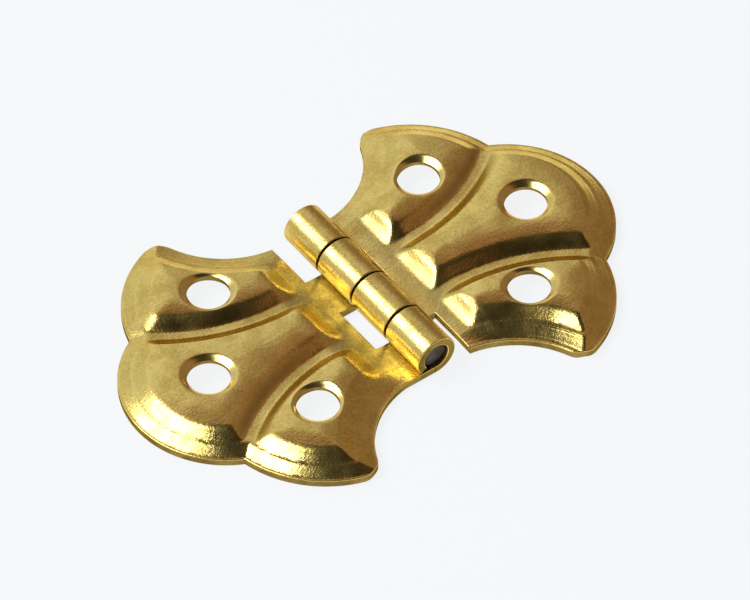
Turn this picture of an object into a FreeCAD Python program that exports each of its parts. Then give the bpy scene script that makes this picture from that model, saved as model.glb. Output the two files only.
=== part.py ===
import FreeCAD, Part
import math
import os
import Sketcher

# Driving sizes, all in millimetres.
SIZES = {
    # Sheet, pin and barrel
    "sheet_thickness": 0.8,
    "pin_diameter": 2.5,
    "pin_play": 0.05,
    "pin_recess": 0.4,
    "barrel_length": 20.45,
    "knuckle_gap": 0.25,
    "seam_gap": 0.12,
    "slot_clearance": 1.3,
    # Outline of one leaf, measured from the pin's axis and from the middle of the barrel
    "leaf_reach": 25.8,
    "notch_x": 20.35,
    "notch_y": 8.85,
    "side_lobe_x": 9.45,
    "side_lobe_y": 6.3,
    "scoop_x": 2.2,
    "scoop_radius": 9.3,
    "tip_radius": 1.9,
    # Pressed relief, as runs across the sheet and rises above the step before
    "rim_flat": 0.2,
    "rim_slope": 1.1,
    "scoop_slope": 1.6,
    "rim_rise": 0.5,
    "crease_width": 0.12,
    "valley_x": 6.5,
    "valley_y": 3.4,
    "valley_width": 0.9,
    "wall_run": 1.3,
    "wall_rise": 0.95,
    "crown_run": 0.6,
    "crown_rise": 0.25,
    "heel_margin": 0.95,
    "heel_slope": 0.65,
    # Screw holes
    "side_hole_x": 11.9,
    "side_hole_y": 8.4,
    "end_hole_x": 17.9,
    "hole_diameter": 4.0,
    "countersink_diameter": 5.2,
}


class Size:
    """A length that knows both its number and the sheet formula that drives it."""

    def __init__(self, formula, number):
        self.formula = formula
        self.number = number

    def combine(self, sign, other, number):
        return Size(f"({self.formula} {sign} {as_size(other).formula})", number)

    def __add__(self, other):
        return self.combine("+", other, self.number + as_size(other).number)

    def __sub__(self, other):
        return self.combine("-", other, self.number - as_size(other).number)

    def __mul__(self, other):
        return self.combine("*", other, self.number * as_size(other).number)

    def __truediv__(self, other):
        return self.combine("/", other, self.number / as_size(other).number)

    def __neg__(self):
        return Size(f"(0 - {self.formula})", -self.number)

    def root(self):
        return Size(f"sqrt({self.formula})", math.sqrt(self.number))


def as_size(value):
    if isinstance(value, Size):
        return value
    return Size(str(value), value)


def hypotenuse(across, along):
    return (across * across + along * along).root()


doc = FreeCAD.newDocument("ButterflyHinge")
sheet = doc.addObject("Spreadsheet::Sheet", "Sizes")
for row, (name, number) in enumerate(SIZES.items(), 1):
    sheet.set(f"A{row}", name)
    sheet.set(f"B{row}", str(number))
    sheet.setAlias(f"B{row}", name)
doc.recompute()
size = {name: Size(f"Sizes.{name}", number) for name, number in SIZES.items()}

# Barrel
bore_radius = size["pin_diameter"] / 2 + size["pin_play"]
knuckle_radius = bore_radius + size["sheet_thickness"]
knuckle_length = (size["barrel_length"] - size["knuckle_gap"] * 3) / 4
barrel_half = size["barrel_length"] / 2

# Outline arcs: every arc is a centre, a radius and the side of it that carries metal
inner_edge = knuckle_radius + size["slot_clearance"]
apex_depth = size["leaf_reach"] - size["notch_x"]
centre_radius = (apex_depth * apex_depth + size["notch_y"] * size["notch_y"]) / (apex_depth * 2)
centre_x = size["leaf_reach"] - centre_radius
side_radius = hypotenuse(size["notch_x"] - size["side_lobe_x"], size["notch_y"] - size["side_lobe_y"])
scoop_start = inner_edge - size["scoop_x"]
scoop_y = barrel_half + (size["scoop_radius"] * size["scoop_radius"] - scoop_start * scoop_start).root()

# The valley between two lobes leaves the barrel square and ends in the notch
valley_run = size["notch_x"] - size["valley_x"]
valley_climb = size["notch_y"] - size["valley_y"]
valley_radius = (valley_run * valley_run + valley_climb * valley_climb) / (valley_climb * 2)
valley_y = size["valley_y"] + valley_radius

# Heights of the pressed top face
rim_top = size["sheet_thickness"]
crease_top = rim_top + size["rim_rise"]
wall_top = crease_top + size["wall_rise"]
crown_top = wall_top + size["crown_rise"]


def arc_side(x, y, radius, inside):
    return {"x": x, "y": y, "radius": radius, "inside": inside}


def line_side(x):
    return {"x": x}


def point_on(side, start):
    """The point of a side that lies nearest to start."""
    if "radius" not in side:
        return (side["x"].number, start[1])
    middle = (side["x"].number, side["y"].number)
    reach = side["radius"].number / math.dist(middle, start)
    return (middle[0] + (start[0] - middle[0]) * reach, middle[1] + (start[1] - middle[1]) * reach)


def shifted_radius(side, shift):
    if side["inside"]:
        return side["radius"].number - shift
    return side["radius"].number + shift


def meet(first, second, shift):
    """Where two sides meet once both are moved inward by shift."""
    if "radius" not in second:
        first, second = second, first
    middle = (second["x"].number, second["y"].number)
    reach = shifted_radius(second, shift)
    if "radius" not in first:
        across = first["x"].number + shift
        rise = math.sqrt(reach ** 2 - (across - middle[0]) ** 2)
        return min(((across, middle[1] - rise), (across, middle[1] + rise)), key=lambda p: abs(p[1]))
    other = (first["x"].number, first["y"].number)
    other_reach = shifted_radius(first, shift)
    span = math.dist(middle, other)
    along = (reach ** 2 - other_reach ** 2 + span ** 2) / (2 * span)
    rise = math.sqrt(reach ** 2 - along ** 2)
    step = ((other[0] - middle[0]) / span, (other[1] - middle[1]) / span)
    foot = (middle[0] + along * step[0], middle[1] + along * step[1])
    return max(
        (foot[0] - rise * step[1], foot[1] + rise * step[0]),
        (foot[0] + rise * step[1], foot[1] - rise * step[0]),
    )


def vector(point):
    return FreeCAD.Vector(point[0], point[1], 0)


def add_arc(sketch, middle, radius, start, end):
    turn = [math.atan2(p[1] - middle[1], p[0] - middle[0]) for p in (start, end)]
    circle = Part.Circle(vector(middle), FreeCAD.Vector(0, 0, 1), radius)
    return sketch.addGeometry(Part.ArcOfCircle(circle, turn[0], turn[1]), False)


def add_line(sketch, start, end):
    return sketch.addGeometry(Part.LineSegment(vector(start), vector(end)), False)


def fix(sketch, kind, references, length):
    index = sketch.addConstraint(Sketcher.Constraint(kind, *references, length.number))
    sketch.setExpression(f"Constraints[{index}]", length.formula)


def tie(sketch, kind, *references):
    sketch.addConstraint(Sketcher.Constraint(kind, *references))


def fix_centre(sketch, arc, x, y):
    fix(sketch, "DistanceX", (-1, 1, arc, 3), x)
    if y is None:
        tie(sketch, "PointOnObject", arc, 3, -1)
    else:
        fix(sketch, "DistanceY", (-1, 1, arc, 3), y)


def origin_plane(body, role):
    return next(item for item in body.Origin.OriginFeatures if item.Role == role)


def new_sketch(body, name, role, lift):
    sketch = body.newObject("Sketcher::SketchObject", name)
    sketch.AttachmentSupport = (origin_plane(body, role), [""])
    sketch.MapMode = "FlatFace"
    sketch.setExpression("AttachmentOffset.Base.z", lift.formula)
    return sketch


def draw_loop(sketch, sides, corners):
    """Draw sides counter-clockwise; corner i rounds the turn from side i to the next, or is None."""
    shifts = [corner.number if corner else 0.0 for corner in corners]
    pairs = list(zip(sides, sides[1:] + sides[:1]))
    pivots = [meet(here, after, shift) for (here, after), shift in zip(pairs, shifts)]
    starts = [point_on(side, pivots[i - 1]) for i, side in enumerate(sides)]
    ends = [point_on(side, pivots[i]) for i, side in enumerate(sides)]
    edges = []
    for side, start, end in zip(sides, starts, ends):
        if "radius" not in side:
            edge = add_line(sketch, start, end)
            tie(sketch, "Vertical", edge)
            fix(sketch, "DistanceX", (-1, 1, edge, 1), side["x"])
            edges.append((edge, 1, 2))
            continue
        middle = (side["x"].number, side["y"].number)
        if side["inside"]:
            edge = add_arc(sketch, middle, side["radius"].number, start, end)
            edges.append((edge, 1, 2))
        else:
            edge = add_arc(sketch, middle, side["radius"].number, end, start)
            edges.append((edge, 2, 1))
        fix_centre(sketch, edge, side["x"], side["y"] if side["y"].number else None)
        fix(sketch, "Radius", (edge,), side["radius"])
    for i, corner in enumerate(corners):
        here, _, here_end = edges[i]
        after, after_start, _ = edges[(i + 1) % len(edges)]
        if corner is None:
            tie(sketch, "Coincident", here, here_end, after, after_start)
            continue
        bend = add_arc(sketch, pivots[i], corner.number, ends[i], starts[(i + 1) % len(edges)])
        tie(sketch, "Tangent", here, here_end, bend, 1)
        tie(sketch, "Tangent", bend, 2, after, after_start)
        fix(sketch, "Radius", (bend,), corner)


def leaf_loop(rim_inset, scoop_inset, heel):
    """The leaf's outline drawn in by an inset, with its straight inner edge at heel."""
    lobe_radius = side_radius - rim_inset
    scoop_reach = size["scoop_radius"] + scoop_inset
    tip = size["tip_radius"]
    sides = [
        line_side(heel),
        arc_side(size["scoop_x"], -scoop_y, scoop_reach, False),
        arc_side(size["side_lobe_x"], -size["side_lobe_y"], lobe_radius, True),
        arc_side(centre_x, as_size(0), centre_radius - rim_inset, True),
        arc_side(size["side_lobe_x"], size["side_lobe_y"], lobe_radius, True),
        arc_side(size["scoop_x"], scoop_y, scoop_reach, False),
    ]
    corners = [None, tip, None, None, tip, None]
    return sides, corners


# Steps of the relief, from low to high: top height, then how far in from the rim, the scoop, the valley
# and the pin's axis the sheet lies there
border_foot = {
    "top": rim_top,
    "rim": size["rim_flat"],
    "scoop": size["rim_flat"],
    "heel": inner_edge + size["heel_margin"],
}
border_crest = {
    "top": crease_top,
    "rim": border_foot["rim"] + size["rim_slope"],
    "scoop": border_foot["scoop"] + size["scoop_slope"],
    "heel": border_foot["heel"] + size["heel_slope"],
}
lobe_foot = {name: border_crest[name] + size["crease_width"] for name in ("rim", "scoop", "heel")}
lobe_foot["valley"] = size["valley_width"] / 2
lobe_foot["top"] = crease_top


def higher(step, top, run):
    raised = {name: inset + run for name, inset in step.items()}
    raised["top"] = top
    return raised


lobe_wall = higher(lobe_foot, wall_top, size["wall_run"])
lobe_crown = higher(lobe_wall, crown_top, size["crown_run"])


def pad(body, name, sketch, length):
    feature = body.newObject("PartDesign::Pad", name)
    feature.Profile = sketch
    feature.setExpression("Length", length.formula)
    doc.recompute()
    return feature


def outline_body(name, rim_inset, scoop_inset, heel, height):
    body = doc.addObject("PartDesign::Body", name)
    sketch = new_sketch(body, f"{name}_outline", "XY_Plane", as_size(0))
    draw_loop(sketch, *leaf_loop(rim_inset, scoop_inset, heel))
    pad(body, f"{name}_plate", sketch, height)
    return body


def add_part(kind, name, **formulas):
    part = doc.addObject(f"Part::{kind}", name)
    for field, length in formulas.items():
        part.setExpression(field, length.formula)
    return part


def move(part, x, y, z):
    for axis, length in (("x", x), ("y", y), ("z", z)):
        part.setExpression(f"Placement.Base.{axis}", length.formula)
    return part


def combine(kind, name, parts):
    result = doc.addObject(f"Part::Multi{kind}", name)
    result.Shapes = parts
    doc.recompute()
    return result


def cut(name, base, tool):
    result = doc.addObject("Part::Cut", name)
    result.Base = base
    result.Tool = tool
    doc.recompute()
    return result


def flare(name, low, high, drop, x, y, low_radius, high_radius):
    """A cone between two steps of the relief, about an arc's centre and lowered by drop."""
    height = high["top"] - low["top"]
    cone = add_part("Cone", name, Radius1=low_radius, Radius2=high_radius, Height=height)
    return move(cone, x, y, low["top"] - drop)


def rim_flare(name, low, high, drop, x, y, radius):
    reach = [radius - step["rim"] for step in (low, high)]
    return flare(name, low, high, drop, x, y, *reach)


def scoop_flare(name, low, high, drop, y):
    reach = [size["scoop_radius"] + step["scoop"] for step in (low, high)]
    return flare(name, low, high, drop, size["scoop_x"], y, *reach)


def heel_ramp(name, low, high, drop):
    """Everything outward of the sloping face that looks at the barrel."""
    width = size["leaf_reach"] * 2
    ramp = add_part(
        "Wedge", name,
        Xmin=low["heel"], X2min=high["heel"], Xmax=width, X2max=width,
        Ymin=as_size(0), Ymax=high["top"] - low["top"],
        Zmin=-width, Z2min=-width, Zmax=width, Z2max=width,
    )
    ramp.Placement.Rotation = FreeCAD.Rotation(FreeCAD.Vector(1, 0, 0), 90)
    return move(ramp, as_size(0), as_size(0), low["top"] - drop)


def border(prefix, drop):
    """The sloping rim all round the leaf, up to the crease that the lobes stand on."""
    low = border_foot
    high = border_crest
    lobes = [rim_flare(f"{prefix}_centre_rim", low, high, drop, centre_x, as_size(0), centre_radius)]
    scoops = []
    for name, side_y, end_y in (
        ("upper", size["side_lobe_y"], scoop_y),
        ("lower", -size["side_lobe_y"], -scoop_y),
    ):
        rim_name = f"{prefix}_{name}_rim"
        lobes.append(rim_flare(rim_name, low, high, drop, size["side_lobe_x"], side_y, side_radius))
        scoops.append(scoop_flare(f"{prefix}_{name}_scoop", low, high, drop, end_y))
    half_flat = size["rim_flat"] / 2
    limit = outline_body(f"{prefix}_limit", half_flat, half_flat, inner_edge, crown_top)
    ramp = heel_ramp(f"{prefix}_ramp", low, high, drop)
    spread = combine("Fuse", f"{prefix}_spread", lobes)
    bounded = combine("Common", f"{prefix}_bounded", [spread, ramp, limit])
    return cut(f"{prefix}_border", bounded, combine("Fuse", f"{prefix}_scoops", scoops))


def centre_lobe(prefix, low, high, drop):
    reach = [valley_radius + step["valley"] for step in (low, high)]
    valleys = [
        flare(f"{prefix}_valley_{name}", low, high, drop, size["valley_x"], y, *reach)
        for name, y in (("upper", valley_y), ("lower", -valley_y))
    ]
    rim = rim_flare(f"{prefix}_rim", low, high, drop, centre_x, as_size(0), centre_radius)
    shank = add_part(
        "Box", f"{prefix}_shank",
        Length=centre_x, Width=size["notch_y"] * 2, Height=high["top"] - low["top"],
    )
    move(shank, as_size(0), -size["notch_y"], low["top"] - drop)
    spread = combine("Fuse", f"{prefix}_spread", [rim, shank])
    mound = combine("Common", f"{prefix}_mound", [spread, heel_ramp(f"{prefix}_ramp", low, high, drop)])
    return cut(f"{prefix}_lobe", mound, combine("Fuse", f"{prefix}_valleys", valleys))


def side_lobe(prefix, low, high, drop):
    reach = [valley_radius - step["valley"] for step in (low, high)]
    valley = flare(f"{prefix}_valley", low, high, drop, size["valley_x"], valley_y, *reach)
    place = (size["side_lobe_x"], size["side_lobe_y"])
    rim = rim_flare(f"{prefix}_rim", low, high, drop, *place, side_radius)
    ramp = heel_ramp(f"{prefix}_ramp", low, high, drop)
    mound = combine("Common", f"{prefix}_mound", [rim, ramp, valley])
    return cut(f"{prefix}_lobe", mound, scoop_flare(f"{prefix}_scoop", low, high, drop, scoop_y))


def mirror(name, source):
    result = doc.addObject("Part::Mirroring", name)
    result.Source = source
    result.Normal = FreeCAD.Vector(0, 1, 0)
    return result


def relief(prefix, drop, lobe_steps):
    """All that is pressed up out of the flat sheet, its lobes through the given steps, lowered by drop."""
    parts = [border(prefix, drop)]
    for stage, (low, high) in enumerate(zip(lobe_steps, lobe_steps[1:]), 1):
        parts.append(centre_lobe(f"{prefix}_centre_{stage}", low, high, drop))
        upper = side_lobe(f"{prefix}_upper_{stage}", low, high, drop)
        parts.append(upper)
        parts.append(mirror(f"{prefix}_lower_{stage}", upper))
    return parts


def roll_knuckles(name):
    """Tongues that run under the barrel, curl round the pin and close just above the leaf."""
    body = doc.addObject("PartDesign::Body", name)
    sketch = new_sketch(body, f"{name}_curl", "XZ_Plane", -barrel_half)
    axis = (0.0, knuckle_radius.number)
    outer = knuckle_radius.number
    bore = bore_radius.number
    sheet_top = size["sheet_thickness"]
    lip_height = sheet_top + size["seam_gap"]
    lip_turn = math.asin((lip_height.number - outer) / outer)
    lip = (math.cos(lip_turn), math.sin(lip_turn))
    lip_out = (outer * lip[0], axis[1] + outer * lip[1])
    lip_in = (bore * lip[0], axis[1] + bore * lip[1])
    edge_low = (inner_edge.number, 0.0)
    edge_high = (inner_edge.number, sheet_top.number)
    floor_end = (0.0, 0.0)
    ceiling_end = (0.0, sheet_top.number)
    outer_arc = add_arc(sketch, axis, outer, lip_out, floor_end)
    inner_arc = add_arc(sketch, axis, bore, lip_in, ceiling_end)
    lip_edge = add_line(sketch, lip_in, lip_out)
    floor = add_line(sketch, floor_end, edge_low)
    wall = add_line(sketch, edge_low, edge_high)
    ceiling = add_line(sketch, edge_high, ceiling_end)
    tie(sketch, "Coincident", inner_arc, 3, outer_arc, 3)
    tie(sketch, "PointOnObject", outer_arc, 3, -2)
    tie(sketch, "Coincident", lip_edge, 1, inner_arc, 1)
    tie(sketch, "Coincident", lip_edge, 2, outer_arc, 1)
    tie(sketch, "PointOnObject", outer_arc, 3, lip_edge)
    tie(sketch, "Tangent", outer_arc, 2, floor, 1)
    tie(sketch, "Coincident", floor, 2, wall, 1)
    tie(sketch, "Coincident", wall, 2, ceiling, 1)
    tie(sketch, "Tangent", ceiling, 2, inner_arc, 2)
    tie(sketch, "Horizontal", floor)
    tie(sketch, "Vertical", wall)
    tie(sketch, "PointOnObject", floor, 1, -1)
    fix(sketch, "Radius", (outer_arc,), knuckle_radius)
    fix(sketch, "Radius", (inner_arc,), bore_radius)
    fix(sketch, "DistanceX", (-1, 1, floor, 2), inner_edge)
    fix(sketch, "DistanceY", (-1, 1, outer_arc, 1), lip_height)
    first = pad(body, f"{name}_first", sketch, knuckle_length)
    row = body.newObject("PartDesign::LinearPattern", f"{name}_row")
    row.Originals = [first]
    row.Direction = (origin_plane(body, "Y_Axis"), [""])
    row.Reversed = True
    row.Occurrences = 2
    row.setExpression("Length", ((knuckle_length + size["knuckle_gap"]) * 2).formula)
    body.Tip = row
    doc.recompute()
    return body


def screw_holes(prefix):
    """Round holes with a countersink that opens at the crown and carries on above it."""
    places = (
        ("end", size["end_hole_x"], as_size(0)),
        ("upper", size["side_hole_x"], size["side_hole_y"]),
        ("lower", size["side_hole_x"], -size["side_hole_y"]),
    )
    hole_radius = size["hole_diameter"] / 2
    depth = size["countersink_diameter"] / 2 - hole_radius
    tall = crown_top * 2
    parts = []
    for name, x, y in places:
        drill = add_part("Cylinder", f"{prefix}_{name}_drill", Radius=hole_radius, Height=tall)
        parts.append(move(drill, x, y, as_size(0)))
        sink = add_part(
            "Cone", f"{prefix}_{name}_sink",
            Radius1=hole_radius, Radius2=hole_radius + depth + crown_top, Height=depth + crown_top,
        )
        parts.append(move(sink, x, y, crown_top - depth))
    return combine("Fuse", f"{prefix}_holes", parts)


def build_leaf(label, turn):
    plate = outline_body(f"{label}_blank", as_size(0), as_size(0), inner_edge, size["sheet_thickness"])
    raised = relief(f"{label}_raised", as_size(0), (lobe_foot, lobe_wall, lobe_crown))
    hollow = relief(f"{label}_hollow", size["sheet_thickness"], (lobe_foot, lobe_crown))
    form = combine("Fuse", f"{label}_form", [plate] + raised)
    pressing = cut(f"{label}_pressing", form, combine("Fuse", f"{label}_hollow", hollow))
    rolled = combine("Fuse", f"{label}_rolled", [pressing, roll_knuckles(f"{label}_knuckles")])
    leaf = cut(label, rolled, screw_holes(label))
    leaf.Label = label
    leaf.Refine = True
    about_axis = FreeCAD.Rotation(FreeCAD.Vector(0, 0, 1), turn)
    leaf.Placement = FreeCAD.Placement(FreeCAD.Vector(), about_axis)
    return leaf


def build_pin(label):
    body = doc.addObject("PartDesign::Body", label)
    body.Label = label
    sketch = new_sketch(body, "wire", "XZ_Plane", as_size(0))
    middle = FreeCAD.Vector(0, knuckle_radius.number, 0)
    ring = Part.Circle(middle, FreeCAD.Vector(0, 0, 1), bore_radius.number)
    circle = sketch.addGeometry(ring, False)
    tie(sketch, "PointOnObject", circle, 3, -2)
    fix(sketch, "DistanceY", (-1, 1, circle, 3), knuckle_radius)
    fix(sketch, "Diameter", (circle,), size["pin_diameter"])
    rod = pad(body, "rod", sketch, size["barrel_length"] - size["pin_recess"] * 2)
    rod.SideType = "Symmetric"
    doc.recompute()
    body.Placement = FreeCAD.Placement()
    return body


pieces = [
    build_leaf("right_leaf", 0),
    build_leaf("left_leaf", 180),
    build_pin("hinge_pin"),
]
doc.recompute()

faults = [item.Name for item in doc.Objects if {"Invalid", "Error"} & set(item.State)]
if faults:
    raise RuntimeError(f"objects in error: {faults}")
os.makedirs("parts", exist_ok=True)
for piece in pieces:
    shape = piece.Shape
    if shape.isNull() or not shape.isValid() or len(shape.Solids) != 1:
        raise RuntimeError(f"{piece.Label} is not one valid solid")
    shape.exportStep(f"parts/{piece.Label}.step")
    print(piece.Label, round(shape.Volume, 3), shape.BoundBox)
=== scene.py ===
import math

import bmesh
import bpy
import numpy as np
from mathutils import Matrix, Vector
from mathutils.geometry import delaunay_2d_cdt


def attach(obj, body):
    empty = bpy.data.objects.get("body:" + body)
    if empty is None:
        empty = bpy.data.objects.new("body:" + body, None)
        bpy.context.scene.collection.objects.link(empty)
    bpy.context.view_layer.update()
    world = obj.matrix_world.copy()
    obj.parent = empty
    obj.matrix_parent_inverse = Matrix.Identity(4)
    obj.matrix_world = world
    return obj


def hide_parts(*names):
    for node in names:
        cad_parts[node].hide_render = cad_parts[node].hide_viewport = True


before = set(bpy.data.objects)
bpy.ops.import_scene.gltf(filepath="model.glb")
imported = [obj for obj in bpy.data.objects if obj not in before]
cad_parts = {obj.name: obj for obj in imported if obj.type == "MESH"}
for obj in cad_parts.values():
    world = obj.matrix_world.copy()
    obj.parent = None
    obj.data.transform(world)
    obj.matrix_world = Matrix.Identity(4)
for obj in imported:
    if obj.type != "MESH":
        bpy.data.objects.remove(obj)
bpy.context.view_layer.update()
mm = 0.001
print("hinge: frame loaded")

# one pressed leaf, in millimetres, lying along +X from the pin's axis
leafShape = {
    "sheet": 0.8,
    "edgeRound": 0.1,  # softened edges of the cut sheet
    "innerEdge": 3.4,
    "slotEdge": 3.12,  # the slot between the two tongues
    "endSlotEdge": 3.75,
    "reach": 25.8,
    "notch": (20.35, 8.85),
    "sideCentre": (9.45, 6.3),
    "scoopX": 2.2,
    "scoopRadius": 9.3,
    "tipRadius": 1.9,
    "barrelLength": 20.45,
    "knuckleGap": 0.25,
    "knuckleRadius": 2.1,
    "boreRadius": 1.3,
    "seamGap": 0.06,
    "valleyStart": (6.5, 3.4),
    "valleyHalf": 0.45,
    "rimFlat": 0.2,
    "rimSlope": 1.1,  # widths of the sloped border, at the lobes and at the scooped sides
    "scoopSlope": 1.6,
    "rimRise": 0.66,
    "crease": 0.16,
    "heelFoot": 3.3,  # the border rises from here, going away from the pin
    "heelSlope": 3.6,
    "heelSoft": 0.3,
    "heelWall": 4.5,  # and the lobes from here
    "heelRun": 1.9,
    "heelStart": 0.4,  # slope at the foot of a lobe's heel, as a share of its mean
    "wallRun": 1.15,
    "wallRise": 0.78,
    "crownRun": 1.5,
    "crownRise": 0.25,
    "crownSoft": 0.7,
    "domeRun": 3.6,  # crowns bulge a little towards their middle
    "domeRise": 0.1,
    "domeSoft": 1.44,
    "foldSoft": 0.08,  # how gently the press turns the sheet
    "wallSoft": 0.24,
    "cornerSoft": 0.32,
    "heelCorner": 0.55,
    "notchSoft": 0.1,
    "borderSoft": 0.096,
    "tongueRun": 2.0,  # the tongues run level into their knuckles over this length
    "holes": ((17.9, 0.0), (11.9, 8.4), (11.9, -8.4)),
    "holeRadius": 2.0,
    "sinkRadius": 2.6,
    "sinkSlope": 0.75,
    "sinkSoft": 0.09,
    "valleyShadeFoot": 0.25,  # painted shade on the valley walls: how soon it sets in and fades, across and along them
    "valleyShadeTop": 0.6,
    "valleyShadeStart": 2.0,
    "valleyShadeRise": 5.0,
    "valleyShadeFade": 2.0,
    "dullAndShadeStart": 3.6,  # painted shade, with added roughness, between these distances from the pin
    "dullAndShadeEnd": 7.2,
    "dullAndShadeRise": 1.2,
    "dullAndShadeRun": 2.2,
    "dullAndShadeFade": 3.5,  # towards the ends of the knuckles
    "dull": 0.6,
    "meshStep": 0.24,
    "meshRow": 0.866,  # rows of even triangles, as a share of the step
    "meshHalf": 18.0,  # the lattice reaches past the leaf's ends
    "meshParts": 40,  # points are sifted in parts, to spare memory
    "meshClear": 0.132,  # free band between the even mesh and the outline
    "lobePoints": 70,
    "sidePoints": 90,
    "tipPoints": 16,
    "scoopPoints": 70,
    "linePoints": 14,
    "ringPoints": 72,
    "sinkRings": (0.1, 0.25, 0.4, 0.5, 0.56, 0.61, 0.67, 0.75, 0.85),  # out from the hole's wall
    "ringClear": 0.37,
    "rollRows": 120,
    "roundTurns": (90, 60, 30, 0),  # degrees, over a rounded edge
    "normalStep": 0.002,
    "weld": 0.003,
}


def softPositive(x, soft):
    return 0.5 * (x + np.sqrt(x * x + soft * soft))


def softRamp(x, run, rise, footSoft, topSoft):
    # straight slope from 0 to rise with both bends rounded
    return rise / run * (softPositive(x, footSoft) - softPositive(x - run, topSoft))


def softMin(a, b, soft):
    return 0.5 * (a + b - np.sqrt((a - b) ** 2 + soft * soft))


def softMax(a, b, soft):
    return -softMin(-a, -b, soft)


def leafArcs(s):
    depth = s["reach"] - s["notch"][0]
    arcs = {}
    arcs["centreRadius"] = (depth ** 2 + s["notch"][1] ** 2) / (2 * depth)
    arcs["centreX"] = s["reach"] - arcs["centreRadius"]
    arcs["sideRadius"] = math.dist(s["notch"], s["sideCentre"])
    scoopRise = math.sqrt(s["scoopRadius"] ** 2 - (s["innerEdge"] - s["scoopX"]) ** 2)
    arcs["scoopY"] = s["barrelLength"] / 2 + scoopRise
    run = s["notch"][0] - s["valleyStart"][0]
    climb = s["notch"][1] - s["valleyStart"][1]
    arcs["valleyRadius"] = (run ** 2 + climb ** 2) / (2 * climb)
    arcs["valleyY"] = s["valleyStart"][1] + arcs["valleyRadius"]
    return arcs


def arcDistances(x, y, s):
    # how far a point lies inside the middle lobe, the side lobe and the scoop, and to the middle of a valley
    a = leafArcs(s)
    y = np.abs(y)
    centreIn = a["centreRadius"] - np.hypot(x - a["centreX"], y)
    sideIn = a["sideRadius"] - np.hypot(x - s["sideCentre"][0], y - s["sideCentre"][1])
    scoopIn = np.hypot(x - s["scoopX"], y - a["scoopY"]) - s["scoopRadius"]
    valleyIn = np.hypot(x - s["valleyStart"][0], y - a["valleyY"]) - a["valleyRadius"]
    return centreIn, sideIn, scoopIn, valleyIn


def reliefHeight(x, y, s):
    # height of the pressed top face without the screw holes
    a = leafArcs(s)
    centreIn, sideIn, scoopIn, valleyIn = arcDistances(x, y, s)
    corner = s["cornerSoft"]
    # border: climbs from the flat rim to the crease, as a share of its slope
    rim = (softMax(centreIn, sideIn, s["notchSoft"]) - s["rimFlat"]) / s["rimSlope"]
    share = softMin(rim, (scoopIn - s["rimFlat"]) / s["scoopSlope"], s["borderSoft"])
    fold = s["foldSoft"] / s["rimSlope"]
    border = softRamp(share, 1.0, 1.0, fold, fold)
    border = border * softRamp(x - s["heelFoot"], s["heelSlope"], s["rimRise"], s["heelSoft"], s["heelSoft"])
    # lobes: how far inside the foot of its wall a point lies
    rimFoot = s["rimFlat"] + s["rimSlope"] + s["crease"]
    scoopFoot = s["rimFlat"] + s["scoopSlope"] + s["crease"]
    heel = (x - s["heelWall"]) / s["heelRun"]
    rest = 1.0 - s["heelStart"]
    easing = s["heelStart"] * heel + rest * np.maximum(heel, 0.0) ** 2
    heelIn = s["wallRun"] * np.where(heel < 1.0, easing, (1.0 + rest) * heel - rest)
    centreRim = np.where(x < a["centreX"], a["centreRadius"] - np.abs(y), centreIn) - rimFoot
    centreLobe = softMin(centreRim, valleyIn - s["valleyHalf"], corner)
    centreLobe = softMin(centreLobe, heelIn, s["heelCorner"])
    sideLobe = softMin(sideIn - rimFoot, -valleyIn - s["valleyHalf"], corner)
    sideLobe = softMin(sideLobe, heelIn, s["heelCorner"])
    sideLobe = softMin(sideLobe, scoopIn - scoopFoot, corner)
    lift = 0.0
    for inside in (centreLobe, sideLobe):
        lift = lift + softRamp(inside, s["wallRun"], s["wallRise"], s["foldSoft"], s["wallSoft"])
        crown = inside - s["wallRun"]
        lift = lift + softRamp(crown, s["crownRun"], s["crownRise"], s["crownSoft"], s["crownSoft"])
        lift = lift + softRamp(crown, s["domeRun"], s["domeRise"], s["domeSoft"], s["domeSoft"])
    return s["sheet"] + (border + lift) * np.clip(x / s["tongueRun"], 0, 1)


def valleyShadeMask(x, y, s):
    # share of painted shade on the walls of the two valleys
    away = np.abs(arcDistances(x, y, s)[3]) - s["valleyHalf"]
    across = np.clip(away / s["valleyShadeFoot"], 0, 1) * np.clip((s["wallRun"] - away) / s["valleyShadeTop"], 0, 1)
    begin = np.clip((x - s["heelWall"] - s["valleyShadeStart"]) / s["valleyShadeRise"], 0, 1)
    return across * begin * np.clip((s["notch"][0] - x) / s["valleyShadeFade"], 0, 1)


def heelDullAndShade(x, y, s):
    # share of painted shade and added roughness beside the knuckles
    begin = np.clip((x - s["dullAndShadeStart"]) / s["dullAndShadeRise"], 0, 1)
    end = np.clip((s["dullAndShadeEnd"] - x) / s["dullAndShadeRun"], 0, 1)
    return s["dull"] * begin * end * np.clip((s["barrelLength"] / 2 - np.abs(y)) / s["dullAndShadeFade"], 0, 1)


def rimDepth(x, y, s):
    # distance from the nearest free edge of the leaf
    centreIn, sideIn, scoopIn, _ = arcDistances(x, y, s)
    return np.minimum(np.maximum(centreIn, sideIn), scoopIn)


def topHeight(x, y, s):
    # height of the pressed top face with the countersinks
    z = reliefHeight(x, y, s)
    for holeX, holeY in s["holes"]:
        lip = reliefHeight(np.array([holeX]), np.array([holeY]), s)
        sink = lip - s["sinkSlope"] * (s["sinkRadius"] - np.hypot(x - holeX, y - holeY))
        z = softMin(z, sink, s["sinkSoft"])
    return z


def heightNormals(height, x, y, s):
    d = s["normalStep"]
    slopeX = (height(x + d, y, s) - height(x - d, y, s)) / (2 * d)
    slopeY = (height(x, y + d, s) - height(x, y - d, s)) / (2 * d)
    n = np.stack([-slopeX, -slopeY, np.ones_like(x)], 1)
    return n / np.linalg.norm(n, axis=1, keepdims=True)


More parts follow.
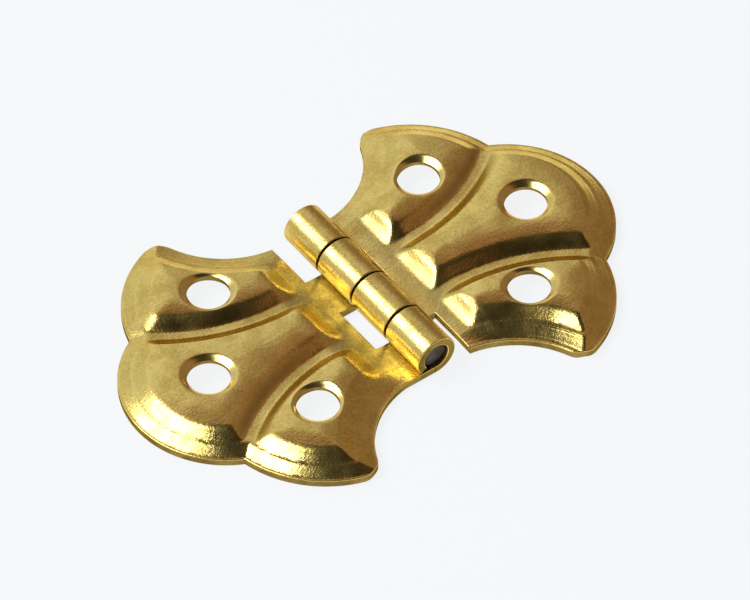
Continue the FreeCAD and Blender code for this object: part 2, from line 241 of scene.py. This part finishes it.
def circlesMeet(c0, r0, c1, r1):
    # the meeting point that lies farther along +X
    span = math.dist(c0, c1)
    along = (r0 ** 2 - r1 ** 2 + span ** 2) / (2 * span)
    rise = math.sqrt(r0 ** 2 - along ** 2)
    ux, uy = (c1[0] - c0[0]) / span, (c1[1] - c0[1]) / span
    foot = (c0[0] + along * ux, c0[1] + along * uy)
    return max((foot[0] - rise * uy, foot[1] + rise * ux),
               (foot[0] + rise * uy, foot[1] - rise * ux))


def arcRun(centre, radius, start, end, side, count):
    # points along an arc and the outward directions there; side is 1 where the metal is inside the arc
    a0 = math.atan2(start[1] - centre[1], start[0] - centre[0])
    a1 = math.atan2(end[1] - centre[1], end[0] - centre[0])
    t = a0 + (a1 - a0) * np.arange(count) / count
    out = np.stack([np.cos(t), np.sin(t)], 1)
    return np.array(centre) + radius * out, out * side


def lineRun(start, end, count):
    start, end = np.array(start, float), np.array(end, float)
    along = (end - start) / np.linalg.norm(end - start)
    points = start + (end - start) * (np.arange(count) / count)[:, None]
    return points, np.tile((along[1], -along[0]), (count, 1))


def leafOutline(s, inset):
    # outline of the right leaf with the tongues of its two knuckles, drawn in by inset, counter-clockwise
    a = leafArcs(s)
    e = inset
    centre, side = (a["centreX"], 0.0), s["sideCentre"]
    scoop = (s["scoopX"], a["scoopY"])
    centreR, sideR, scoopR = a["centreRadius"] - e, a["sideRadius"] - e, s["scoopRadius"] + e
    tipR = s["tipRadius"]
    tip = circlesMeet(side, a["sideRadius"] - tipR, scoop, s["scoopRadius"] + tipR)

    def towardTip(c, r):
        return tuple(np.array(c) + r * (np.array(tip) - np.array(c)) / math.dist(tip, c))

    notch = circlesMeet(centre, centreR, side, sideR)
    onSide, onScoop = towardTip(side, sideR), towardTip(scoop, scoopR)
    endY = s["barrelLength"] / 2
    slotX, edgeX = s["slotEdge"] + e, s["endSlotEdge"] + e
    upperEnd = (scoop[0] + math.sqrt(scoopR ** 2 - (scoop[1] - endY + e) ** 2), endY - e)
    lowerEnd = (edgeX, -(scoop[1] - math.sqrt(scoopR ** 2 - (edgeX - scoop[0]) ** 2)))
    upper = [
        arcRun(centre, centreR, (s["reach"], 0.0), notch, 1, s["lobePoints"]),
        arcRun(side, sideR, notch, onSide, 1, s["sidePoints"]),
        arcRun(tip, tipR - e, onSide, onScoop, 1, s["tipPoints"]),
        arcRun(scoop, scoopR, onScoop, upperEnd, -1, s["scoopPoints"]),
    ]
    runs = [(points, out, True) for points, out in upper]
    corners = [upperEnd]
    for top, bottom in knuckleSpans(s):
        if top < endY:
            corners.append((slotX, top - e))
        corners += [(0.0, top - e), (0.0, bottom + e), (slotX if top == endY else edgeX, bottom + e)]
    corners.append(lowerEnd)
    for start, end in zip(corners, corners[1:]):
        walled = start[0] + end[0] > 0.0  # a tongue's end stays open, because its knuckle goes on from there
        points, out = lineRun(start, end, s["linePoints"] if walled else 1)
        runs.append((points, out, walled))
    flip = np.array((1.0, -1.0))
    lower = [
        arcRun(scoop, scoopR, (lowerEnd[0], -lowerEnd[1]), onScoop, -1, s["scoopPoints"]),
        arcRun(tip, tipR - e, onScoop, onSide, 1, s["tipPoints"]),
        arcRun(side, sideR, onSide, notch, 1, s["sidePoints"]),
        arcRun(centre, centreR, notch, (s["reach"], 0.0), 1, s["lobePoints"]),
    ]
    runs += [(points * flip, out * flip, True) for points, out in lower]
    points = np.concatenate([r[0] for r in runs])
    out = np.concatenate([r[1] for r in runs])
    walled = np.concatenate([np.full(len(r[0]), r[2]) for r in runs])
    return points, out, walled


def knuckleSpans(s):
    # upper and lower ends of this leaf's two knuckles, the first and third of four
    length = (s["barrelLength"] - 3 * s["knuckleGap"]) / 4
    tops = (s["barrelLength"] / 2, s["barrelLength"] / 2 - 2 * (length + s["knuckleGap"]))
    return [(top, top - length) for top in tops]


def insideLoop(points, loop):
    # even-odd test of many points against one loop
    x, y = points[:, :1], points[:, 1:]
    x0, y0 = loop[:, 0], loop[:, 1]
    x1, y1 = np.roll(x0, -1), np.roll(y0, -1)
    crosses = (y0 > y) != (y1 > y)
    rise = np.where(y1 == y0, 1.0, y1 - y0)
    at = x0 + (y - y0) / rise * (x1 - x0)
    return (np.sum(crosses & (x < at), axis=1) % 2) == 1


class shell:
    # one mesh in the making; cut is 1 where the sheet was sheared and 2 in a countersink
    noMarks = (0.0, 0.0, 9.0)  # no painted shade on the valley walls or beside the knuckles, no added roughness, and far from the rim

    def __init__(self):
        self.points, self.normals, self.faces, self.cut, self.marks = [], [], [], [], []
        self.count = 0

    def add(self, points, normals, faces, cut=0, marks=None):
        self.points.append(np.asarray(points, float))
        self.normals.append(np.asarray(normals, float))
        self.faces += [tuple(int(i) + self.count for i in f) for f in faces]
        self.cut += list(cut) if isinstance(cut, list) else [cut] * len(faces)
        self.marks.append(np.tile(self.noMarks, (len(points), 1)) if marks is None else marks)
        self.count += len(points)

    def grid(self, points, normals, cutAt, skip=None, marks=None):
        # points and normals are rows x columns x 3 and close round; skip marks columns that start no face
        rows, cols = points.shape[:2]
        faces, cut = [], []
        for r in range(rows - 1):
            for c in range(cols):
                d = (c + 1) % cols
                if skip is None or not skip[c]:
                    faces.append((r * cols + c, (r + 1) * cols + c, (r + 1) * cols + d, r * cols + d))
                    cut.append(int(cutAt(r, c)))
        self.add(points.reshape(-1, 3), normals.reshape(-1, 3), faces, cut, marks)


def leafMarks(x, y, s):
    # the masks that the brass reads, in the order of markNames
    return np.stack([valleyShadeMask(x, y, s), heelDullAndShade(x, y, s), rimDepth(x, y, s)], 1)


def leafShell(s):
    out = shell()
    e = s["edgeRound"]
    loop, _, walled = leafOutline(s, e)
    ring = np.linspace(0, 2 * math.pi, s["ringPoints"], endpoint=False)
    circle = np.stack([np.cos(ring), np.sin(ring)], 1)
    holeLoops = [np.array(h) + s["holeRadius"] * circle for h in s["holes"]]
    # scattered points: an even lattice, with rings round each countersink
    g = s["meshStep"]
    xs = np.arange(0, s["reach"], g)
    ys = np.arange(-s["meshHalf"], s["meshHalf"], g * s["meshRow"])
    gx, gy = np.meshgrid(xs, ys)
    gx = gx + (np.arange(len(ys)) % 2)[:, None] * g / 2
    cloud = np.stack([gx.ravel(), gy.ravel()], 1)
    cloud = cloud[insideLoop(cloud, loop)]
    for h in s["holes"]:
        cloud = cloud[np.hypot(*(cloud - np.array(h)).T) > s["sinkRadius"] + s["ringClear"]]
    near = np.concatenate([np.min(np.hypot(part[:, :1] - loop[:, 0], part[:, 1:] - loop[:, 1]), axis=1)
                           for part in np.array_split(cloud, s["meshParts"])])
    cloud = cloud[(near > s["meshClear"]) & (cloud[:, 0] > s["meshClear"])]
    rings = []
    for h in s["holes"]:
        for k, r in enumerate(s["sinkRings"]):
            turn = ring + (k % 2) * math.pi / s["ringPoints"]
            rings.append(np.array(h) + (s["holeRadius"] + r) * np.stack([np.cos(turn), np.sin(turn)], 1))
    flat = np.concatenate([loop] + holeLoops + rings + [cloud])
    edges, start = [], 0
    for part in [loop] + holeLoops:
        n = len(part)
        edges += [(start + i, start + (i + 1) % n) for i in range(n)]
        start += n
    made = delaunay_2d_cdt([Vector(p) for p in flat], edges, [], 0, 1e-6)
    xy = np.array([tuple(v) for v in made[0]])
    faces = np.array([f for f in made[2] if len(f) == 3])
    mid = xy[faces].mean(axis=1)
    keep = insideLoop(mid, loop)
    for h in holeLoops:
        keep &= ~insideLoop(mid, h)
    faces = faces[keep]
    cross = np.cross(xy[faces[:, 1]] - xy[faces[:, 0]], xy[faces[:, 2]] - xy[faces[:, 0]])
    faces[cross < 0] = faces[cross < 0][:, ::-1]
    x, y = xy[:, 0], xy[:, 1]
    mid = xy[faces].mean(axis=1)
    sunk = sum(np.hypot(*(mid - np.array(h)).T) < s["sinkRadius"] for h in s["holes"])
    top = np.stack([x, y, topHeight(x, y, s)], 1)
    marks = leafMarks(x, y, s)
    out.add(top, heightNormals(topHeight, x, y, s), faces, (2 * sunk).tolist(), marks)
    under = heightNormals(reliefHeight, x, y, s)
    out.add(np.stack([x, y, reliefHeight(x, y, s) - s["sheet"]], 1), -under, faces[:, ::-1], 0, marks)
    # cut edge of the sheet
    rows, normals = [], []
    topEdge = topHeight(loop[:, 0], loop[:, 1], s) - e
    underEdge = reliefHeight(loop[:, 0], loop[:, 1], s) - s["sheet"] + e
    turns = s["roundTurns"]
    for turn, level in [(t, topEdge) for t in turns] + [(-t, underEdge) for t in reversed(turns)]:
        c, n = math.cos(math.radians(turn)), math.sin(math.radians(turn))
        points, way, _ = leafOutline(s, e * (1 - c))
        rows.append(np.column_stack([points, level + e * n]))
        normals.append(np.column_stack([way * c, np.full(len(way), n)]))
    edgeMarks = np.tile(leafMarks(loop[:, 0], loop[:, 1], s), (len(rows), 1))
    out.grid(np.array(rows), np.array(normals), lambda r, c: r >= len(turns) - 1, ~walled, edgeMarks)
    # bare wall of each screw hole
    for h, part in zip(s["holes"], holeLoops):
        px, py = part[:, 0], part[:, 1]
        high, low = topHeight(px, py, s), reliefHeight(px, py, s) - s["sheet"]
        rows = np.array([np.column_stack([part, low]), np.column_stack([part, high])])
        inward = np.column_stack([-circle, np.zeros(len(ring))])
        wallMarks = np.tile(leafMarks(px, py, s), (2, 1))
        out.grid(rows, np.array([inward, inward]), lambda r, c: True, None, wallMarks)
    addKnuckles(out, s)
    return out


def addKnuckles(out, s):
    # each knuckle: a rounded strip rolled under the axis, up and over to a lip above the leaf
    e, inner, outer = s["edgeRound"], s["boreRadius"], s["knuckleRadius"]
    lipHeight = s["sheet"] + s["seamGap"]
    lip = 2 * math.pi - math.acos((outer - lipHeight) / outer)
    roundCount = len(s["roundTurns"])
    endFaces = (roundCount - 1, 3 * roundCount - 1)  # columns between the rounded corners at both ends
    for top, bottom in knuckleSpans(s):
        # section of the strip: along the pin, out from it, both outward directions, and its corner's centre
        ring = []
        corners = ((top, outer, 0), (top, inner, -90), (bottom, inner, -180), (bottom, outer, -270))
        for y, r, first in corners:
            cy = y - e if y == top else y + e
            cr = r - e if r == outer else r + e
            for corner in s["roundTurns"]:
                t = math.radians(corner + first)
                ring.append((cy + e * math.cos(t), cr + e * math.sin(t), math.cos(t), math.sin(t), cy, cr))
        ring = np.array(ring)
        turns = np.linspace(0, lip - e / outer, s["rollRows"])
        rows, normals = [], []
        for turn in turns:
            way = np.array((-math.sin(turn), -math.cos(turn)))
            rows.append(np.column_stack([ring[:, 1] * way[0], ring[:, 0], outer + ring[:, 1] * way[1]]))
            normals.append(np.column_stack([ring[:, 3] * way[0], ring[:, 2], ring[:, 3] * way[1]]))
        ahead = np.array((-math.cos(turns[-1]), 0.0, math.sin(turns[-1])))
        last = len(turns) - 1
        for t in s["roundTurns"][-2::-1]:
            c, n = math.cos(math.radians(t)), math.sin(math.radians(t))
            y = ring[:, 4] + (ring[:, 0] - ring[:, 4]) * c
            r = ring[:, 5] + (ring[:, 1] - ring[:, 5]) * c
            rows.append(np.column_stack([r * way[0], y, outer + r * way[1]]) + e * n * ahead)
            normals.append(normals[last] * c + ahead * n)
        out.grid(np.array(rows), np.array(normals), lambda r, c: c in endFaces or r > last)
        cap = rows[-1]
        out.add(cap, np.tile(ahead, (len(cap), 1)), [tuple(range(len(cap)))], 1)


# the first two masks are painted shade on the valley walls, and painted shade with added roughness beside
# the knuckles; the third is the depth from the rim
markNames = ("valleyShade", "dull", "rimDepth")


def leafObject(name, body, node, turn, shape):
    made = leafShell(shape)
    points, normals = np.concatenate(made.points) * mm, np.concatenate(made.normals)
    if turn:
        points[:, :2] *= -1
        normals[:, :2] *= -1
    mesh = bpy.data.meshes.new(name)
    mesh.from_pydata(points.tolist(), [], made.faces)
    mesh.polygons.foreach_set("use_smooth", [True] * len(mesh.polygons))
    mesh.polygons.foreach_set("material_index", made.cut)
    for label, values in zip(markNames, np.concatenate(made.marks).T):
        attribute = mesh.attributes.new(label, "FLOAT", "POINT")
        attribute.data.foreach_set("value", np.ascontiguousarray(values))
    # each corner keeps its own normal while the seams between the faces are welded
    normals = normals / np.linalg.norm(normals, axis=1, keepdims=True)
    corners = np.zeros(len(mesh.loops), int)
    mesh.loops.foreach_get("vertex_index", corners)
    attribute = mesh.attributes.new("pressNormal", "FLOAT_VECTOR", "CORNER")
    attribute.data.foreach_set("vector", normals[corners].ravel())
    work = bmesh.new()
    work.from_mesh(mesh)
    bmesh.ops.remove_doubles(work, verts=work.verts, dist=shape["weld"] * mm)
    work.to_mesh(mesh)
    work.free()
    kept = np.zeros(len(mesh.loops) * 3)
    mesh.attributes["pressNormal"].data.foreach_get("vector", kept)
    mesh.attributes.remove(mesh.attributes["pressNormal"])
    mesh.normals_split_custom_set(kept.reshape(-1, 3).tolist())
    obj = bpy.data.objects.new(name, mesh)
    bpy.context.scene.collection.objects.link(obj)
    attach(obj, body)
    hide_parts(node)
    print("hinge:", name, len(mesh.polygons), "faces")
    return obj


def newNode(tree, kind, **values):
    node = tree.nodes.new(kind)
    for name, value in values.items():
        setattr(node, name, value)
    return node


def feed(tree, socket, value):
    # a socket is wired, a number or a colour is set
    if isinstance(value, bpy.types.NodeSocket):
        tree.links.new(value, socket)
    else:
        socket.default_value = (*value, 1) if socket.type == "RGBA" else value


def noiseNode(tree, vector, scale, detail, roughness):
    node = newNode(tree, "ShaderNodeTexNoise")
    for name, value in zip(("Vector", "Scale", "Detail", "Roughness"), (vector, scale, detail, roughness)):
        feed(tree, node.inputs[name], value)
    return node.outputs["Fac"]


def rangeNode(tree, value, fromRange, toRange):
    node = newNode(tree, "ShaderNodeMapRange")
    feed(tree, node.inputs["Value"], value)
    for name, number in zip(("From Min", "From Max", "To Min", "To Max"), (*fromRange, *toRange)):
        node.inputs[name].default_value = number
    return node.outputs["Result"]


def mathNode(tree, operation, first, second):
    node = newNode(tree, "ShaderNodeMath", operation=operation)
    feed(tree, node.inputs[0], first)
    feed(tree, node.inputs[1], second)
    return node.outputs[0]


def colourMix(tree, share, first, second):
    node = newNode(tree, "ShaderNodeMix", data_type="RGBA")
    feed(tree, node.inputs["Factor"], share)
    for name, value in (("A", first), ("B", second)):
        feed(tree, next(i for i in node.inputs if i.name == name and i.type == "RGBA"), value)
    return next(o for o in node.outputs if o.type == "RGBA")


def newGroup(name, inputs, outputs):
    tree = bpy.data.node_groups.new(name, "ShaderNodeTree")
    for way, labels in (("INPUT", inputs), ("OUTPUT", outputs)):
        for label in labels:
            tree.interface.new_socket(name=label, in_out=way, socket_type="NodeSocketFloat")
    return tree, newNode(tree, "NodeGroupInput"), newNode(tree, "NodeGroupOutput")


def markNode(tree, label):
    return newNode(tree, "ShaderNodeAttribute", attribute_name=label).outputs["Fac"]


def pressLines(tree, look):
    # fine uneven lines that the press drew along the rim, fading towards the crowns
    depth = markNode(tree, "rimDepth")
    lines = newNode(tree, "ShaderNodeTexNoise", noise_dimensions="1D")
    feed(tree, lines.inputs["W"], depth)
    lines.inputs["Scale"].default_value = look["pressScale"]
    lines.inputs["Detail"].default_value = look["pressDetail"]
    fade = rangeNode(tree, depth, look["pressDepths"], (look["pressHeight"], 0.0))
    return mathNode(tree, "MULTIPLY", lines.outputs["Fac"], fade)


# noise of each mark: its detail and roughness
rollingMarksLook = {
    "Lines": (3.0, 0.5),
    "Waves": (2.0, 0.5),
    "Grain": (2.0, 0.5),
    "Smudges": (5.0, 0.62),
}
lineStretch = (9.0, 70.0, 9.0)  # the drawn lines run along X
scaleNames = [label + " Scale" for label in rollingMarksLook]


def rollingMarksGroup(look):
    # drawn lines of rolled sheet, the waves that the press leaves, fine grain and smudges
    tree, given, made = newGroup("rollingMarks", scaleNames, look)
    place = newNode(tree, "ShaderNodeTexCoord").outputs["Object"]
    stretch = newNode(tree, "ShaderNodeMapping")
    feed(tree, stretch.inputs["Vector"], place)
    stretch.inputs["Scale"].default_value = lineStretch
    for (label, (detail, roughness)), scaleName in zip(look.items(), scaleNames):
        vector = stretch.outputs["Vector"] if label == "Lines" else place
        noise = noiseNode(tree, vector, given.outputs[scaleName], detail, roughness)
        feed(tree, made.inputs[label], noise)
    return tree


# heights in metres; bright and deep are the two tones that smudges and grain mix;
# scales are those of the lines, waves, grain and smudges
brassLook = {
    "bright": (0.89, 0.68, 0.215),
    "deep": (0.68, 0.475, 0.125),
    "roughLow": 0.17,
    "roughHigh": 0.30,
    "scales": (60.0, 150.0, 4200.0, 420.0),
    "lineHeight": 0.000006,
    "grainHeight": 0.000015,
    "grainShare": 0.6,
    "waveHeight": 0.0002,
    # painted shade on the valley walls: its colour and share
    "valleyShade": (0.30, 0.17, 0.045),
    "valleyShadeShare": 0.55,
    # beside the knuckles: added roughness, and painted shade in the two tones and their share
    "dullRough": 0.09,
    "dullAndShadeBright": (0.50, 0.435, 0.175),
    "dullAndShadeDeep": (0.29, 0.24, 0.09),
    "dullAndShadeShare": 0.9,
    "pressScale": 2.6,
    "pressDetail": 2.0,
    "pressDepths": (1.8, 3.6),  # the press lines fade between these depths from the rim, in millimetres
    "pressHeight": 0.00003,
    "edge": (0.92, 0.80, 0.5),
}
cutLook = {
    "bright": (0.42, 0.295, 0.085),
    "deep": (0.25, 0.17, 0.048),
    "roughLow": 0.38,
    "roughHigh": 0.6,
    "scales": (60.0, 150.0, 4200.0, 420.0),
    "lineHeight": 0.000004,
    "grainHeight": 0.000004,
    "grainShare": 0.3,
    "waveHeight": 0.00001,
    "edge": (0.40, 0.28, 0.08),
}
sinkLook = {
    "bright": (0.92, 0.72, 0.26),
    "deep": (0.80, 0.58, 0.17),
    "roughLow": 0.18,
    "roughHigh": 0.26,
    "scales": (60.0, 150.0, 4200.0, 420.0),
    "lineHeight": 0.000002,
    "grainHeight": 0.000001,
    "grainShare": 0.3,
    "waveHeight": 0.00001,
    "edge": (0.92, 0.80, 0.5),
}
pinLook = {
    "bright": (0.16, 0.14, 0.12),
    "deep": (0.06, 0.05, 0.045),
    "roughLow": 0.35,
    "roughHigh": 0.6,
    "scales": (60.0, 150.0, 4200.0, 420.0),
    "lineHeight": 0.000002,
    "grainHeight": 0.000001,
    "grainShare": 0.3,
    "waveHeight": 0.00001,
    "edge": (0.16, 0.14, 0.12),
}
toneRange = (0.36, 0.66)  # of the smudges, for the tones and for the roughness
roughRange = (0.3, 0.7)
grainMiddle = 0.5
rollingMarks = rollingMarksGroup(rollingMarksLook)


def metalMaterial(name, look):
    material = bpy.data.materials.new(name)
    material.use_nodes = True
    tree = material.node_tree
    shader = tree.nodes["Principled BSDF"]
    shader.inputs["Metallic"].default_value = 1.0
    shader.inputs["Specular Tint"].default_value = (*look["edge"], 1)
    marks = newNode(tree, "ShaderNodeGroup")
    marks.node_tree = rollingMarks
    for label, scale in zip(scaleNames, look["scales"]):
        marks.inputs[label].default_value = scale
    lines, waves, grain, smudges = (marks.outputs[label] for label in rollingMarksLook)

    def times(value, factor):
        return mathNode(tree, "MULTIPLY", value, factor)

    speckle = times(mathNode(tree, "SUBTRACT", grain, grainMiddle), look["grainShare"])
    patchy = rangeNode(tree, mathNode(tree, "ADD", smudges, speckle), toneRange, (0.0, 1.0))
    colour = colourMix(tree, patchy, look["bright"], look["deep"])
    rough = rangeNode(tree, smudges, roughRange, (look["roughLow"], look["roughHigh"]))
    height = mathNode(tree, "ADD", times(lines, look["lineHeight"]), times(waves, look["waveHeight"]))
    height = mathNode(tree, "ADD", height, times(grain, look["grainHeight"]))
    if "valleyShade" in look:
        # painted shade darkens the valley walls
        shadeInValleys = markNode(tree, "valleyShade")
        colour = colourMix(tree, times(shadeInValleys, look["valleyShadeShare"]), colour, look["valleyShade"])
        # painted shade beside the knuckles, where roughness is added too
        dull = markNode(tree, "dull")
        shadedTone = colourMix(tree, patchy, look["dullAndShadeBright"], look["dullAndShadeDeep"])
        colour = colourMix(tree, times(dull, look["dullAndShadeShare"]), colour, shadedTone)
        rough = mathNode(tree, "ADD", rough, times(dull, look["dullRough"]))
        height = mathNode(tree, "ADD", height, pressLines(tree, look))
    feed(tree, shader.inputs["Base Color"], colour)
    feed(tree, shader.inputs["Roughness"], rough)
    bump = newNode(tree, "ShaderNodeBump")
    bump.inputs["Distance"].default_value = 1.0
    feed(tree, bump.inputs["Height"], height)
    feed(tree, shader.inputs["Normal"], bump.outputs["Normal"])
    return material


brass = metalMaterial("rolledBrass", brassLook)
cutBrass = metalMaterial("shearedBrass", cutLook)
sinkBrass = metalMaterial("countersunkBrass", sinkLook)
# near-black metal for the pin
pinMetal = metalMaterial("nearBlackPinMetal", pinLook)
# the right leaf's heels are steeper, and the left leaf has painted shade and added roughness right up to its
# knuckles
rightShape = dict(leafShape, heelWall=4.85, heelRun=1.35, heelCorner=0.35)
leftShape = dict(leafShape, endSlotEdge=3.45, dullAndShadeStart=-5.0, dull=1.0)
rightLeaf = leafObject("rightLeafPressing", "right_half", "right_leaf", False, rightShape)
leftLeaf = leafObject("leftLeafPressing", "left_half", "left_leaf", True, leftShape)
for leaf in (rightLeaf, leftLeaf):
    for metal in (brass, cutBrass, sinkBrass):
        leaf.data.materials.append(metal)
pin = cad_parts["hinge_pin"]
pin.data.materials.clear()
pin.data.materials.append(pinMetal)
print("hinge: leaves and pin dressed")

# camera of the photograph: angles in degrees, distance in metres
cameraPlace = {
    "azimuth": -36.605,
    "elevation": 47.842,
    "distance": 0.704,
    "pixelsPerMm": 11.0,
    "originPixel": (368.918, 302.154),
    "aimHeight": 0.37,
    "imageSize": (750, 600),
    "sensor": 36.0,
    "nearClip": 0.01,
}


def placeCamera(c):
    az, el = math.radians(c["azimuth"]), math.radians(c["elevation"])
    back = Vector((math.sin(az) * math.cos(el), -math.cos(az) * math.cos(el), math.sin(el)))
    right = Vector((math.cos(az), math.sin(az), 0))
    up = back.cross(right)
    width, height = c["imageSize"]
    data = bpy.data.cameras.new("photoCamera")
    data.sensor_width = c["sensor"]
    data.lens = c["pixelsPerMm"] * c["distance"] / mm / width * c["sensor"]
    data.clip_start = c["nearClip"]
    camera = bpy.data.objects.new("photoCamera", data)
    aside = (width / 2 - c["originPixel"][0]) / c["pixelsPerMm"] * mm
    above = (c["originPixel"][1] - height / 2) / c["pixelsPerMm"] * mm
    camera.matrix_world = Matrix((right, up, back)).transposed().to_4x4()
    camera.location = Vector((0, 0, c["aimHeight"] * mm)) + back * c["distance"] + right * aside + up * above
    bpy.context.scene.collection.objects.link(camera)
    bpy.context.scene.camera = camera


placeCamera(cameraPlace)

# stage and light
stageLook = {
    "floorSize": 6.0,
    "floorColour": (0.74, 0.76, 0.79),
    "floorRough": 0.9,
    "paleColour": (0.955, 0.972, 0.99),
    "paleShare": 0.88,  # the rest of the floor takes light and shadow
    "floorDrop": 0.02,  # millimetres under the hinge
}


def makeFloor(look):
    half = look["floorSize"] / 2
    mesh = bpy.data.meshes.new("floor")
    corners = [(-half, -half, 0), (half, -half, 0), (half, half, 0), (-half, half, 0)]
    mesh.from_pydata(corners, [], [(0, 1, 2, 3)])
    floor = bpy.data.objects.new("floor", mesh)
    floor.location.z = -look["floorDrop"] * mm
    bpy.context.scene.collection.objects.link(floor)
    material = bpy.data.materials.new("paleFloor")
    material.use_nodes = True
    tree = material.node_tree
    rays = newNode(tree, "ShaderNodeLightPath")
    shader = tree.nodes["Principled BSDF"]
    shader.inputs["Base Color"].default_value = (*look["floorColour"], 1)
    shader.inputs["Roughness"].default_value = look["floorRough"]
    shader.inputs["Specular IOR Level"].default_value = 0.0
    glow = newNode(tree, "ShaderNodeEmission")
    glow.inputs["Color"].default_value = (*look["paleColour"], 1)
    mix = newNode(tree, "ShaderNodeMixShader")
    seen = mathNode(tree, "MAXIMUM", rays.outputs["Is Glossy Ray"], rays.outputs["Is Transmission Ray"])
    seen = mathNode(tree, "MAXIMUM", rays.outputs["Is Camera Ray"], seen)
    feed(tree, mix.inputs["Fac"], mathNode(tree, "MULTIPLY", seen, look["paleShare"]))
    feed(tree, mix.inputs[1], shader.outputs[0])
    feed(tree, mix.inputs[2], glow.outputs[0])
    feed(tree, tree.nodes["Material Output"].inputs["Surface"], mix.outputs[0])
    mesh.materials.append(material)


makeFloor(stageLook)

# surroundings, named as seen from the camera: right and far are level directions
studioLook = {
    "far": (0.75, 0.785, 0.82),
    "right": (0.27, 0.19, 0.145),
    "left": (0.61, 0.635, 0.66),
    "fringe": (0.33, 0.175, 0.115),  # warm edge of the dark patch
    "dark": (0.022, 0.020, 0.017),
    "front": (0.36, 0.33, 0.29),
    "darkWay": (0.05, -0.21, 0.976),  # middle of the dark patch: right, far, up
    "darkEdges": (0.66, 0.79, 0.87),  # edges are cosines of the angle from a direction
    "frontEdges": (0.1, 0.6),
    "rightEdges": (-0.22, 0.3),
    "leftEdges": (0.3, 0.8),
}
viewTurn = math.radians(cameraPlace["azimuth"])
viewRight = Vector((math.cos(viewTurn), math.sin(viewTurn), 0))
viewFar = Vector((-math.sin(viewTurn), math.cos(viewTurn), 0))


def makeWorld(look):
    world = bpy.data.worlds.new("studio")
    bpy.context.scene.world = world
    world.use_nodes = True
    tree = world.node_tree
    place = newNode(tree, "ShaderNodeTexCoord").outputs["Generated"]

    def along(way, low, high):
        dot = newNode(tree, "ShaderNodeVectorMath", operation="DOT_PRODUCT")
        feed(tree, dot.inputs[0], place)
        dot.inputs[1].default_value = way
        node = newNode(tree, "ShaderNodeMapRange", interpolation_type="SMOOTHSTEP")
        feed(tree, node.inputs["Value"], dot.outputs["Value"])
        node.inputs["From Min"].default_value = low
        node.inputs["From Max"].default_value = high
        return node.outputs["Result"]

    aside, ahead, above = look["darkWay"]
    darkWay = (viewRight * aside + viewFar * ahead + Vector((0, 0, above))).normalized()
    begin, middle, end = look["darkEdges"]
    colour = colourMix(tree, along(viewRight, *look["rightEdges"]), look["far"], look["right"])
    colour = colourMix(tree, along(-viewRight, *look["leftEdges"]), colour, look["left"])
    colour = colourMix(tree, along(-viewFar, *look["frontEdges"]), colour, look["front"])
    colour = colourMix(tree, along(darkWay, begin, middle), colour, look["fringe"])
    colour = colourMix(tree, along(darkWay, middle, end), colour, look["dark"])
    light = tree.nodes["Background"]
    feed(tree, light.inputs["Color"], colour)
    pale = newNode(tree, "ShaderNodeBackground")
    pale.inputs["Color"].default_value = (*stageLook["paleColour"], 1)
    mix = newNode(tree, "ShaderNodeMixShader")
    feed(tree, mix.inputs["Fac"], newNode(tree, "ShaderNodeLightPath").outputs["Is Camera Ray"])
    feed(tree, mix.inputs[1], light.outputs[0])
    feed(tree, mix.inputs[2], pale.outputs[0])
    feed(tree, tree.nodes["World Output"].inputs["Surface"], mix.outputs[0])


makeWorld(studioLook)

lampLook = {
    "turn": 190.0,  # degrees round from the camera's right, over its far side
    "height": 52.0,  # degrees above the floor
    "distance": 0.5,
    "size": (0.38, 0.33),
    "radiance": 5.8,
    "colour": (0.92, 0.97, 1.0),
}


def makeSoftbox(name, look):
    turn, height = math.radians(look["turn"]), math.radians(look["height"])
    level = viewRight * math.cos(turn) + viewFar * math.sin(turn)
    way = level * math.cos(height) + Vector((0, 0, math.sin(height)))
    data = bpy.data.lights.new(name, "AREA")
    data.shape = "RECTANGLE"
    data.size, data.size_y = look["size"]
    data.energy = look["radiance"] * math.pi * look["size"][0] * look["size"][1]
    data.color = look["colour"]
    lamp = bpy.data.objects.new(name, data)
    lamp.location = way * look["distance"]
    lamp.rotation_euler = way.to_track_quat("Z", "Y").to_euler()
    bpy.context.scene.collection.objects.link(lamp)


makeSoftbox("leftSoftbox", lampLook)
print("hinge: stage and light ready")

bpy.context.scene.view_settings.view_transform = "Standard"
